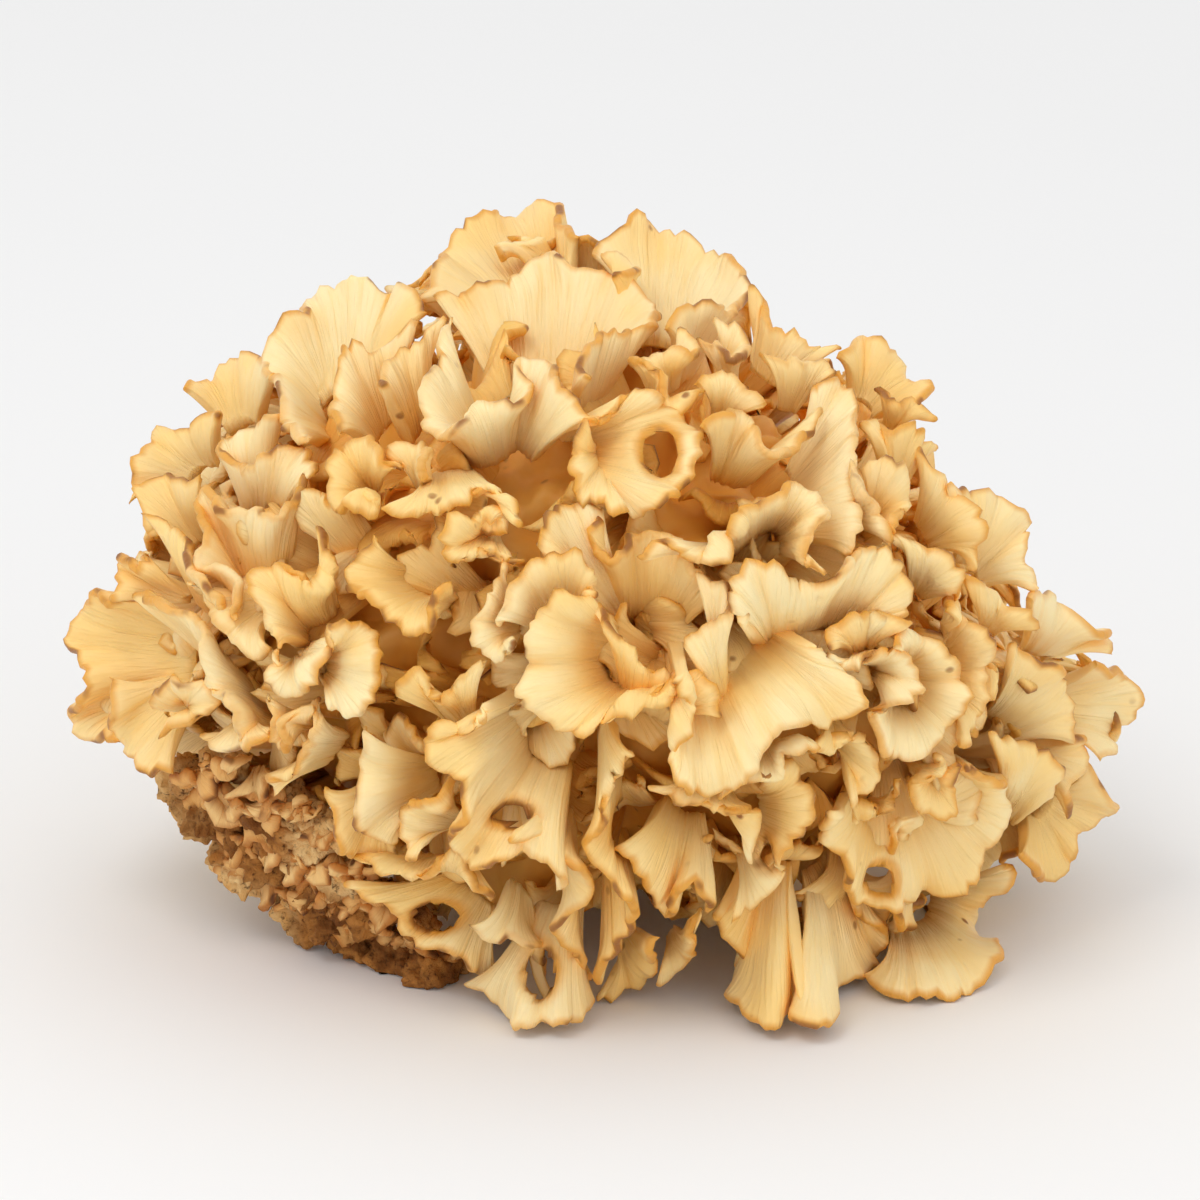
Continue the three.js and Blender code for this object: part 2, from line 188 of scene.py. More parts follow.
def pierced(grid, holes):
    """How far each point lies from the nearest hole, below 0 inside it; and the grid drawn to the holes."""
    clearance = np.full(grid.shape[:2], NO_HOLE)
    for a, b, half_across, half_up in holes:
        offset = (grid[..., :2] - [a, b]) / [half_across, half_up]
        reach = np.linalg.norm(offset, axis=2)
        inside = reach < 1
        open_cells = inside[:-1, :-1] & inside[1:, :-1] & inside[1:, 1:] & inside[:-1, 1:]
        kept = np.pad(~open_cells, 1, constant_values=True)
        on_edge = inside & (kept[:-1, :-1] | kept[1:, :-1] | kept[1:, 1:] | kept[:-1, 1:])
        snapped = [a, b] + offset / np.maximum(reach, 0.2)[..., None] * [half_across, half_up]
        grid = grid.copy()
        grid[..., :2] = np.where(on_edge[..., None], snapped, grid[..., :2])
        distance = (reach - 1) * min(half_across, half_up)
        distance = np.where(on_edge, 0.0, distance)
        clearance = np.where(inside & ~on_edge, -1.0, np.minimum(clearance, np.maximum(distance, 0)))
    return clearance, grid


def rim_distance(grid):
    """How far each point of a grid lies from the rim, down its own column."""
    rise = np.linalg.norm(np.diff(grid, axis=1), axis=2)
    return np.concatenate([np.cumsum(rise[:, ::-1], axis=1)[:, ::-1], np.zeros((len(grid), 1))], axis=1)


def scallops(s, draw):
    """The toothed outline of a rim: round bulges between narrow notches, some large and some small."""
    swing = 0.9 * np.sin(2 * math.pi * s / 21 + draw.uniform(0, LATEST_PHASE))
    size = 0.7 + 0.5 * waves(s, [11, 17], draw)
    bulge = np.abs(np.sin(math.pi * s / (SCALLOP * draw.uniform(0.85, 1.2)) + swing))
    return SCALLOP_DEPTH * size * (bulge - 0.6) + 0.35 * waves(s, [3.2, 4.4], draw)


def closed_sheet(grid, s, v, ruffle, clearance, draw):
    """Ruffles a grid of points and gives it thickness, rounded at every border."""
    normal = calmed(grid_normals(grid), s, 2 * FLESHY)
    ripple = ruffle * waves(s, [10, 15], draw)[:, None] * v[None, :] ** 2.2
    curl = LIP_CURL * waves(s, [17, 27], draw)[:, None] * np.clip(1 - rim_distance(grid) / LIP, 0, 1) ** 2
    grid = calmed(grid + normal * (ripple + curl)[..., None], s, FLESHY)
    reach = grid[:, -1] - grid[:, -2]
    reach /= np.maximum(np.linalg.norm(reach, axis=1, keepdims=True), TINY)
    grid = grid + scallops(s, draw)[:, None, None] * reach[:, None] * v[None, :, None] ** 8
    frill = FRILL * waves(s, [4.8, 6.5], draw)[:, None] * v[None, :] ** 6
    grid = grid + calmed(grid_normals(grid), s, 2 * FLESHY) * frill[..., None]
    normal = calmed(grid_normals(grid), s, 0.6 * FLESHY)
    from_rim = rim_distance(grid)
    from_end = np.minimum(s, s[-1] - s)[:, None] + 0 * from_rim
    half = 0.5 * (BASE_THICKNESS + (RIM_THICKNESS - BASE_THICKNESS) * v[None, :] ** 0.6)
    half = half * (1 + 0.12 * waves(s, [6, 9], draw)[:, None])
    for distance in (from_rim, from_end, np.maximum(clearance, 0)):
        near = np.clip(distance / half, 0, 1)
        half = half * np.sqrt(1 - (1 - near) ** 2)
    half[:, 0] = 0
    half[:, -1] = 0
    half[0] = 0
    half[-1] = 0
    columns, rows = half.shape
    upper = grid + normal * half[..., None]
    lower = grid - normal * half[..., None]
    index = np.arange(columns * rows).reshape(columns, rows)
    inner = columns * rows + np.arange((columns - 2) * (rows - 2)).reshape(columns - 2, rows - 2)
    back = index.copy()
    back[1:-1, 1:-1] = inner
    back = np.where(clearance <= 0, index, back)
    open_cells = (clearance[:-1, :-1] <= 0) & (clearance[1:, :-1] <= 0) & (clearance[1:, 1:] <= 0)
    open_cells &= clearance[:-1, 1:] <= 0
    kept = ~open_cells.ravel()
    points = np.vstack([upper.reshape(-1, 3), lower[1:-1, 1:-1].reshape(-1, 3)])
    faces = np.vstack([quads(index)[kept], quads(back)[kept][:, ::-1]])
    from_rim = np.minimum(from_rim, np.maximum(clearance, 0))
    distance = np.concatenate([from_rim.ravel(), from_rim[1:-1, 1:-1].ravel()])
    along = np.repeat(s[:, None], rows, axis=1)
    strand_s = np.concatenate([along.ravel(), along[1:-1, 1:-1].ravel()])
    shade = np.full(len(points), draw.uniform(0, 1))
    used, faces = np.unique(faces, return_inverse=True)
    values = {"edge": distance[used], "strand": strand_s[used], "shade": shade[used]}
    return points[used], faces.reshape(-1, 4), values


def quads(index):
    return np.stack([index[:-1, :-1], index[1:, :-1], index[1:, 1:], index[:-1, 1:]], axis=-1).reshape(-1, 4)


# ---- the front fronds ------------------------------------------------------------------------
# (root across, root up, root depth), proud at the start, middle and end of the rim, bow, rim points.
# Points are across and up on the tilted front, from the body's middle.
CROWN = [
    ((-12, 68, 26), (-14, -18, -10), 5, [(-39, 74), (-38, 78), (-35, 85), (-32, 89), (-26, 92), (-20, 94),
     (-16, 97), (-12, 96), (-10, 96), (-7, 93), (-9, 91), (-4, 87)]),
    ((-10, 48, 26), (-8, -10, 6), 5, [(-38, 72), (-32, 73.5), (-25, 75.5), (-18, 78), (-14, 82), (-10, 82),
     (-4, 78.5), (1, 79), (6, 76.5), (10, 73.5), (12.5, 69), (12, 64), (7, 63.5), (0, 64), (-4, 59),
     (-4, 53)]),
    ((-22, 38, 24), (2, 4, 2), 4, [(-34, 68), (-32, 62), (-34, 58), (-39, 51), (-39, 47), (-36, 43),
     (-32, 43), (-30, 45), (-26, 48), (-19, 49), (-17, 53), (-18, 58), (-14, 59), (-10, 57), (-8, 51),
     (-5, 50), (-3, 45), (0, 44)]),
    ((-6, 38, 20), (4, 0, 2), 4, [(0, 44), (2, 47), (5, 50), (9, 51), (13, 49), (15, 47.5), (19, 46),
     (21.5, 43), (21, 35), (18, 29), (13, 25), (7, 24)]),
    ((-1, 36, 20), (2, 5, 4), 3, [(-3, 45), (-6, 38), (-6, 32), (-5, 28), (-3, 26.5), (1, 26.5), (3, 23.5),
     (7, 24.5)]),
    ((15, 58, 26), (-6, -8, 2), 6, [(0, 84), (2, 87), (5, 89), (11, 90), (19, 88), (25, 83.5), (30, 81),
     (33.5, 75), (33, 72), (30, 69), (24, 70), (20, 70.5), (17.5, 69), (16.5, 65)]),
    ((6, 68, 18), (-4, 0, 0), 3, [(0, 83), (4, 83), (7, 81), (8, 77), (5.5, 75)]),
    ((14, 50, 20), (4, 2, 0), 4, [(16.5, 65), (19.5, 64), (21.5, 61.5), (21, 59), (16, 60.5), (12, 60),
     (9, 58), (6, 59), (7, 56), (9, 53.5), (12, 52), (15.5, 48.5), (19.5, 49), (23, 50)]),
    ((26, 44, 20), (2, 2, 0), 4, [(20, 53), (23, 54.5), (28, 56), (30, 53), (33, 51), (36, 47)]),
    ((28, 54, 20), (0, 2, 0), 3, [(24, 67), (28, 66), (31, 65.5), (33, 61), (30, 58), (24, 60), (21, 62)]),
    ((36, 54, 20), (0, -2, 0), 4, [(32, 73), (36, 72), (37, 70), (38, 65), (43, 65), (45, 62), (49, 61),
     (54, 61)]),
    ((41, 48, 18), (0, 3, 0), 3, [(34, 60), (38, 58), (42, 59), (45, 57), (50, 58), (52, 54)]),
]
UPPER_LEFT = [
    ((-58, 48, 26), (2, 0, -12), 6, [(-63, 39), (-66, 40), (-69, 42.5), (-71, 51), (-72, 57), (-74.5, 61),
     (-72, 65), (-68, 68), (-65, 70), (-66, 73), (-63, 76), (-58, 76), (-52, 77), (-49, 74), (-45, 76),
     (-41, 74), (-39, 70)]),
    ((-48, 42, 22), (4, 4, 0), 5, [(-56, 42), (-59, 46), (-58, 51), (-57, 58), (-53, 61), (-50, 60),
     (-47, 63), (-43, 64), (-39, 66)]),
    ((-40, 42, 22), (4, 2, 0), 5, [(-48.5, 50), (-48, 56), (-43, 61), (-39, 62), (-38, 65), (-34, 68)]),
    ((-79, 44, 18), (2, -4, -6), 4, [(-92, 49), (-92, 51), (-88, 55), (-83, 60), (-80, 60), (-77, 61),
     (-74, 59), (-70, 54)]),
    ((-88, 34, 16), (6, 2, -2), 4, [(-105, 28), (-104, 31), (-103, 35), (-100, 40), (-101, 42), (-99, 44),
     (-95, 43.5), (-91, 44), (-87, 47.5), (-82, 46)]),
    ((-88, 18, 18), (4, 2, 0), 4, [(-100, 22), (-101, 26), (-102, 29), (-98, 33), (-95, 33.5), (-92, 32),
     (-87, 33)]),
    ((-74, 24, 24), (-4, 0, -2), 3, [(-68, 46), (-76, 44.5), (-82.5, 42), (-84.5, 37), (-83, 34.5),
     (-78, 34.5), (-74, 36), (-70, 39), (-66, 40), (-62.5, 37), (-62, 33)]),
    ((-74, 4, 28), (-2, 2, 4), -3, [(-63, 34), (-66, 31), (-67, 27), (-70, 23.5), (-75, 23), (-80, 25.5),
     (-83, 29), (-86, 31), (-89, 27), (-87, 21), (-83, 14), (-80, 6), (-79, 1)]),
    ((-84, 2, 18), (6, 4, 4), 4, [(-101, 26), (-96, 21), (-91, 17), (-86, 11), (-82, 6), (-81, 1)]),
    ((-90, 6, 14), (4, 8, 4), 3, [(-100, 16), (-102, 12), (-105, 15.5), (-108, 15), (-107, 10), (-106, 5)]),
    ((-50, 28, 20), (2, 3, 2), 4, [(-47, 25), (-52, 26), (-55.5, 24.5), (-59, 28), (-59, 32), (-57, 37),
     (-55, 39.5), (-50, 41), (-47.5, 40), (-46, 35), (-43, 34)]),
    ((-38, 30, 20), (0, 4, 2), 3, [(-46, 36), (-45, 39), (-41, 40), (-36, 38), (-35, 34), (-39, 31)]),
]
LEFT = [
    ((-88, -8, 16), (6, 10, 8), 5, [(-105, 7), (-109, 9), (-113, 7), (-117, 2), (-120, -4), (-117, -6),
     (-114.5, -10), (-115, -14), (-118, -17), (-119, -21), (-117, -25), (-112, -24), (-108, -26)]),
    ((-74, -18, 24), (6, 6, 4), 5, [(-104, 6), (-100, 8), (-95, 6), (-89, 1), (-87, -6), (-86, -11),
     (-82, -16), (-79.5, -19), (-78, -25)]),
    ((-74, 4, 20), (2, 4, 4), 4, [(-90, 11), (-87, 9), (-86, 5), (-83, 1), (-79.5, -4), (-75.5, -7.5),
     (-73, -4)]),
    ((-92, -14, 16), (8, 8, 4), 4, [(-109, -11), (-107, -17), (-109, -21), (-108, -27), (-103, -30),
     (-99, -33), (-93.5, -32)]),
    ((-90, -18, 16), (6, 4, 6), 3, [(-98, -22), (-98, -17), (-96, -13.5), (-91, -11), (-87, -13), (-86, -17),
     (-89, -21), (-94, -24)]),
    ((-76, -20, 20), (2, 4, 2), 4, [(-88, -24), (-84, -27), (-80, -27.5), (-75, -27), (-71, -22)]),
    ((-62, 0, 22), (2, 4, 4), 4, [(-61, 22), (-58, 16.5), (-59, 11), (-63, 8), (-67, 9), (-70, 14),
     (-73, 13), (-74.5, 9), (-73, 4), (-70, 0), (-69.5, -5)]),
    ((-63, -8, 20), (4, 3, 4), 3, [(-69.5, -5), (-72, -9), (-71, -14), (-67, -16), (-63, -14), (-61, -10),
     (-58, -6), (-58, -1), (-54, 1.5), (-50, 0), (-47, -4), (-47, -11), (-49, -17), (-54, -19.5),
     (-59, -17)]),
    ((-36, 8, 26), (2, 2, 4), 3, [(-48, 20), (-50, 17), (-54, 14), (-55.5, 9), (-51, 6), (-47, 3), (-43, -1),
     (-38, -1.5), (-36, 4), (-35, 8), (-31, 10)]),
    ((-64, -20, 18), (2, 2, 2), 3, [(-72, -14), (-71, -20), (-72, -26), (-68, -28), (-65, -22),
     (-63, -16)]),
    ((-58, -26, 18), (2, 2, 0), 4, [(-60, -16.5), (-62, -21), (-63.5, -26), (-66, -31), (-71, -31),
     (-74, -35), (-71, -38)]),
    ((-36, -32, 22), (2, 5, 6), 5, [(-50, -22), (-52, -30), (-52.5, -36), (-52.5, -41), (-50, -46),
     (-45, -49)]),
    ((-32, -42, 20), (8, 6, 4), 3, [(-38, -50), (-42, -49), (-43.5, -45), (-43, -40), (-40, -37), (-35, -36),
     (-31, -32)]),
    ((-46, -34, 20), (2, 2, 2), 3, [(-60, -36), (-58, -42), (-56, -48), (-50, -52), (-44, -54)]),
]
CENTRE_FRONDS = [
    ((-32, 32, 22), (4, 4, 2), 4, [(-46, 25), (-43, 23), (-38, 24.5), (-30, 25.5), (-26, 29), (-21, 29),
     (-17, 25), (-17, 21)]),
    ((-24, 20, 22), (2, 4, 2), 4, [(-19, 22), (-24, 23), (-31, 22), (-34, 17), (-32, 13), (-28, 14.5),
     (-24, 16), (-20, 13.5), (-16, 13)]),
    ((-18, 0, 22), (2, 4, 4), 3, [(-20, 15), (-23, 8), (-25, 4), (-28, 0), (-27, -4), (-23, -7),
     (-17, -4)]),
    ((-8, 0, 22), (6, 4, 4), 5, [(-22, 0), (-20.5, 5), (-19, 9), (-15, 13.5), (-11, 15), (-8, 16),
     (-4, 15.5), (-1.5, 11), (-2, 6)]),
    ((8, -8, 24), (6, 10, 8), 7, [(-2, 7), (-8, 5), (-13, 4), (-16, -3), (-16, -8), (-17, -12), (-15, -17),
     (-11, -21), (-5.5, -23.5), (0, -21), (4, -17), (8, -17.5), (13, -15.5), (17, -12)]),
    ((10, -18, 20), (4, 4, 4), 4, [(-1.5, 6), (4, -1), (6, -5), (10, -9), (14, -9.5), (20, -9.5), (25, -13),
     (26, -20)]),
    ((24, -4, 28), (2, 10, 8), 8, [(48, -6), (53, -10), (56, -14), (55, -18), (51, -21), (45, -21),
     (39, -22), (35, -26), (33, -32), (27, -36), (21, -36), (17, -34), (15, -30), (15, -25), (19, -22),
     (19.5, -16), (16, -11)]),
    ((44, -4, 28), (6, 4, 2), 6, [(31, 1), (27.5, 4), (28, 10), (31, 13.5), (36, 13.5), (40, 11), (43, 7.5),
     (47, 8.5), (50, 12), (57, 17), (62, 17), (65.5, 13), (67.5, 7), (65, 1), (58, 2)]),
    ((6, 0, 30), (2, 4, 2), 4, [(-11, 14), (-13, 18), (-13, 22), (-10, 25), (-5, 26.5), (1, 26)]),
    ((10, 0, 30), (2, 0, 0), -4, [(-2, 24), (-1, 19), (0, 16), (3, 15), (5.5, 19), (9, 21), (13.5, 18.5),
     (18, 16), (23, 10), (29, 7)]),
    ((33, 18, 26), (4, 6, 6), 4, [(8, 18), (13, 18), (16, 16), (20, 13.5), (24, 14), (27, 18), (28, 23),
     (31, 26), (36, 27), (40, 31), (44, 31), (48, 28), (48, 23), (45, 18), (43.5, 14), (48, 11)]),
    ((28, 32, 28), (0, 2, 0), 3, [(21, 43), (26, 46), (32, 47), (34, 43), (35, 40), (38, 37), (42, 38),
     (45, 42), (48, 48)]),
    ((42, 26, 24), (0, 2, 2), 5, [(46, 52), (51, 54), (55.5, 50), (55.5, 42), (55.5, 34), (53.5, 31),
     (55.5, 27), (55.5, 20), (53, 15)]),
    ((-30, -20, 22), (2, 3, 4), 3, [(-44, -16), (-43, -11), (-39, -8.5), (-37, -13), (-35, -16.5),
     (-30, -11), (-27, -8), (-24, -8)]),
    ((26, -22, 22), (2, 4, 2), 4, [(17, -4), (22, 0), (27, 3), (28, 8), (24, 10), (20, 12)]),
]
RIGHT_FRONDS = [
    ((64, 30, 20), (2, 2, 0), 4, [(57, 44), (60, 46.5), (63, 42), (66.5, 44), (70, 41), (76, 39)]),
    ((58, 20, 22), (2, 3, 2), 4, [(56, 34), (60, 36), (66, 33), (68, 30), (65.5, 25), (63, 19)]),
    ((54, 24, 20), (3, 2, 2), 3, [(55, 36), (57, 30), (60, 26), (62, 21), (63, 16)]),
    ((64, 44, 18), (0, 0, 0), 3, [(60, 53), (63, 50), (69, 47), (74, 46)]),
    ((58, 48, 18), (0, -2, 0), 5, [(52, 59), (56, 63), (59, 64), (62, 61), (65, 61), (68, 58), (69, 54),
     (72, 51), (70, 46)]),
    ((81, 12, 18), (-2, -2, 2), 5, [(74, 31), (79, 30), (83, 29.5), (87, 30), (90, 26), (94.5, 22),
     (93.5, 17), (95.5, 12), (96, 7)]),
    ((72, 20, 22), (0, 2, 2), 4, [(70, 40), (74, 33), (80, 27), (83, 18), (82, 12)]),
    ((70, 8, 22), (2, 3, 3), 4, [(62, 20), (69, 18), (74, 16), (77, 11), (79, 5)]),
    ((58, -8, 22), (2, 4, 2), 4, [(48, -6), (50, -9), (54, -9.5), (58, -6), (64, -4.5), (68, -8),
     (68.5, -14), (64, -16), (60, -20)]),
    ((56, -6, 20), (2, 2, 2), 3, [(49, -5), (49.5, -1), (53, 2.5), (60, 3), (66, 1)]),
    ((65, -12, 24), (4, 5, 4), 5, [(61.5, -4), (66, -2), (71, -2.5), (75.5, -6), (79, -12), (78, -17),
     (76, -24), (71, -28), (65.5, -29.5), (60, -27), (58, -23), (60, -19)]),
    ((76, -8, 20), (0, 2, 3), 5, [(74, 1.5), (77, 8), (79, 2), (83, -1), (85.5, -6), (84, -12), (84, -17),
     (82, -23), (77, -27)]),
    ((86, 0, 18), (0, 2, 2), 3, [(77, 10), (82, 10), (85, 7), (88, 4), (92, 4), (95, -1)]),
    ((88, -22, 18), (0, 4, 4), 5, [(89, -3), (94, -6.5), (99, -8), (104, -13), (105.5, -20), (104.5, -27)]),
    ((91, -42, 18), (4, 4, 4), 5, [(84, -23), (90, -25), (96, -26), (100, -31), (101, -39)]),
    ((96, -6, 14), (0, 4, 4), 4, [(92, 6), (97, 7.5), (101, 6.5), (105, 3), (109, 0), (114, -1),
     (113, -7)]),
    ((100, -18, 14), (4, 8, 8), 4, [(109, -7), (113, -9), (118, -11), (120, -17), (119, -22), (116, -27),
     (111, -31)]),
    ((98, -40, 14), (6, 8, 8), 4, [(109, -31), (113, -37), (114, -41), (111, -46), (107, -50), (106, -54),
     (101, -58), (96, -56), (92, -51)]),
    ((96, -28, 16), (2, 6, 6), 3, [(104, -24), (109, -26), (108, -33), (103, -37), (106, -43)]),
]
LOWER = [
    ((50, -22, 18), (2, 4, 2), 4, [(44, -26), (47, -27), (50, -25), (56, -24), (60, -28), (61, -33),
     (58, -37), (52, -38)]),
    ((66, -36, 26), (2, 8, 4), 8, [(49, -39), (48, -44), (51, -47), (53, -54), (55, -61), (60, -61),
     (66, -61.5), (73, -61), (80, -57), (85, -52), (88, -46), (91, -41), (89, -34), (84, -30), (79, -32)]),
    ((70, -30, 20), (4, 6, 4), 3, [(74.5, -29), (74, -32), (69, -35), (70, -40), (75, -42.5), (78, -39),
     (77, -34), (79, -30)]),
    ((-14, -22, 26), (4, 10, 12), 7, [(-25, -18), (-29, -23.5), (-34, -21), (-38, -26), (-36, -31),
     (-30, -33), (-31, -40), (-33, -46), (-30, -52), (-25, -52), (-16, -49), (-10, -53), (-8, -58)]),
    ((2, -24, 26), (4, 8, 12), 5, [(6, -27), (3, -33), (0, -40), (0, -47), (1, -54), (5, -60), (9, -61.5),
     (7, -65), (4, -71), (0, -79)]),
    ((-8, -42, 22), (6, 10, 8), 4, [(-20, -44), (-13, -46), (-8, -49), (-4, -55), (-5, -62), (-7, -70),
     (-4, -78)]),
    ((-8, -60, 20), (6, 8, 8), 4, [(-8, -70), (-3, -79), (-2.5, -85), (-7, -87), (-14, -87), (-19, -88),
     (-22, -84), (-29, -79)]),
    ((-34, -52, 20), (2, 6, 6), 4, [(-54, -50), (-51, -50), (-46, -53.5), (-40, -53.5), (-33, -50),
     (-28, -53), (-22, -58)]),
    ((-28, -58, 20), (0, 4, 6), 5, [(-56, -56), (-52, -60), (-47, -61), (-43, -68), (-38, -71), (-31.5, -72),
     (-28, -77), (-22, -79)]),
    ((-18, -58, 18), (6, 6, 8), 3, [(-28, -66), (-24, -70), (-20, -69), (-15, -72), (-12, -78),
     (-14, -84)]),
    ((18, -40, 24), (2, 6, 4), 5, [(2, -48), (6, -50), (8, -54), (12, -59), (15, -64.5), (18, -60),
     (20, -56), (24, -58), (25, -63)]),
    ((34, -42, 22), (2, 6, 4), 4, [(34, -31), (39, -31.5), (43, -31), (45, -35), (46, -41), (43, -46),
     (40, -48), (39, -55), (34, -61), (28, -64)]),
    ((24, -34, 24), (4, 4, 4), 4, [(10, -34), (16, -37), (22, -38), (29, -38), (33, -42), (33, -50)]),
    ((38, -48, 24), (2, 8, 10), 6, [(24, -63), (28, -66), (29, -71), (32, -75), (29, -80), (33, -83),
     (34, -87), (39, -88), (41, -84), (44, -84), (46, -88)]),
    ((48, -50, 24), (10, 8, 2), 6, [(42, -85), (46, -88), (52, -86), (51, -81), (55, -79), (58, -76),
     (62, -73), (64, -69), (59, -66), (56, -63)]),
    ((42, -66, 20), (8, 8, 6), 3, [(33, -77), (36, -72), (41, -70.5), (46, -72), (51, -73), (55, -77)]),
    ((72, -64, 20), (2, 4, 4), 5, [(92, -52), (90, -58), (86, -61), (86, -66), (84, -71), (88, -74),
     (85, -79), (78, -82), (71, -82), (64, -82), (59, -78)]),
    ((68, -56, 18), (6, 6, 4), 3, [(60, -63), (64, -62), (69, -63), (69, -68), (64, -69)]),
    ((6, -68, 16), (4, 6, 4), 3, [(0, -79), (5, -81), (10, -80), (11, -75), (13, -70), (13, -65)]),
    ((17, -68, 16), (4, 6, 4), 3, [(12, -78), (15.5, -77.5), (18, -72), (20, -67), (24, -66)]),
    ((36, -26, 20), (2, 4, 4), 4, [(26, -36), (31, -34), (36, -31), (41, -27), (46, -25)]),
]


# The holes in some fronds, by the frond's root: across, up, half width and half height of each.
HOLES = {
    (-6, 38): [(13, 37, 3.8, 5.2)],
    (66, -36): [(61, -55.5, 3.2, 3.0)],
    (-14, -22): [(-19, -41, 4.2, 2.4)],
    (-28, -58): [(-36, -64, 5.0, 3.2)],
    (-8, -60): [(-13, -76, 3.4, 5.6)],
    (34, -42): [(37, -50, 2.6, 3.2)],
    (2, -24): [(4, -44, 2.4, 5.0)],
}

# ---- the fronds of the other sides -------------------------------------------------------------
GOLDEN_ANGLE = math.pi * (3 - math.sqrt(5))
CURVATURE_RADIUS = 105.0


def patch(direction, proud, turn):
    """A small frame on the outer dome, facing outwards, turned about its own axis."""
    facing = direction / np.linalg.norm(direction)
    surface = CENTRE + facing * [HALF_WIDTH, HALF_DEPTH, HALF_HEIGHT]
    slope = facing / [HALF_WIDTH, HALF_DEPTH, HALF_HEIGHT]
    out = slope / np.linalg.norm(slope)
    side = np.cross([0.0, 0.0, 1.0], out)
    side /= np.linalg.norm(side)
    up = np.cross(out, side)
    right = math.cos(turn) * side + math.sin(turn) * up
    rise = math.cos(turn) * up - math.sin(turn) * side
    origin = surface + proud * out

    def place(a, b, d):
        return origin + a[..., None] * right + b[..., None] * rise + d[..., None] * out

    return place


def patch_height(a, b):
    return -(a**2 + b**2) / (2 * CURVATURE_RADIUS)


def winding_rim(length, bend, draw):
    """A rim that winds along the dome, made by walking with a swinging heading."""
    s = np.linspace(0, length, 14)
    swing = length * draw.uniform(0.45, 0.8)
    heading = bend * np.sin(2 * math.pi * s / swing + draw.uniform(0, LATEST_PHASE))
    heading += 0.9 * (s / length - 0.5)
    step = length / (len(s) - 1)
    x = np.cumsum(np.cos(heading)) * step
    y = np.cumsum(np.sin(heading)) * step
    return np.column_stack([x - x.mean(), y - y.mean()])


def spread_directions(count):
    """Directions spread evenly over a sphere."""
    k = np.arange(count) + 0.5
    z = 1 - 2 * k / count
    ring = np.sqrt(1 - z**2)
    return np.column_stack([ring * np.cos(GOLDEN_ANGLE * k), ring * np.sin(GOLDEN_ANGLE * k), z])


# The body's outline as seen from the front, just inside the listed fronds, counter-clockwise.
OUTLINE = [(110, -12), (92, 4), (88, 20), (72, 36), (64, 54), (36, 64), (28, 82), (2, 86), (-28, 86),
           (-41, 74), (-66, 66), (-72, 54), (-88, 44), (-98, 28), (-102, 8), (-110, -4), (-110, -20),
           (-88, -32), (-78, -46), (-60, -60), (-40, -70), (-16, -78), (10, -68), (36, -78), (70, -74),
           (86, -58), (98, -48), (108, -32)]
OUTLINE_ANGLES = [math.atan2(b, a) % (2 * math.pi) for a, b in OUTLINE]
OUTLINE_RADII = [math.hypot(a, b) for a, b in OUTLINE]


def within_outline(points):
    """Squeezes the ellipse of the dome, seen from the front, to the body's outline."""
    offset = points - CENTRE
    a, b, d = offset @ RIGHT, offset @ RISE, offset @ OUT
    angle = np.arctan2(b, a) % (2 * math.pi)
    order = np.argsort(OUTLINE_ANGLES)
    angles = np.take(OUTLINE_ANGLES, order)
    wanted = np.interp(angle, angles, np.take(OUTLINE_RADII, order), period=2 * math.pi)
    ellipse = 1 / np.hypot(np.cos(angle) / HALF_WIDTH, np.sin(angle) / HALF_HEIGHT)
    fit = wanted / ellipse
    return front_place(a * fit, b * fit, d)


def wild_fronds(count, keep, proud, sink, length, bow, step=STEP):
    """Fronds all over the dome where keep(direction) holds, each drawn by chance."""
    made = []
    for direction in spread_directions(count):
        turn = rng.uniform(0, 2 * math.pi)
        lean = rng.uniform(9, 16)
        size = rng.uniform(*length)
        bend = rng.uniform(0.9, 1.5)
        lift = rng.uniform(*proud)
        rim = winding_rim(size, bend, rng)
        if not keep(direction):
            continue
        place = patch(direction, lift, turn)
        points, faces, values = frond(place, patch_height, (0, -lean, sink), rim, (0, 2, 0), bow, RUFFLE, 0.4,
                                      step=step)
        made.append((within_outline(points), faces, values))
    return made


def is_behind(direction):
    return direction @ OUT < 0.04 and direction[2] > -0.66


def is_in_front(direction):
    return direction @ OUT > -0.05 and -0.9 < direction[2] < 0.62


def is_anywhere(direction):
    return direction[2] > -0.6


# ---- the core, the foot and the crumbly base ----------------------------------------------------
CORE_SINK = 27.0
CORE_STEPS = (160, 90)
FOOT_TOP = 34  # the core draws in to its foot below this height
FOOT_BLEND = 30
FOOT_DROP = 14


def lumps(points, wavelength, draw, count=9):
    """Smooth noise of about unit height, the sum of plane waves in many directions."""
    total = np.zeros(len(points))
    for _ in range(count):
        direction = draw.normal(size=3)
        direction /= np.linalg.norm(direction)
        pitch = 2 * math.pi / (wavelength * draw.uniform(0.7, 1.4))
        total += np.sin(points @ direction * pitch + draw.uniform(0, LATEST_PHASE))
    return total / math.sqrt(count)


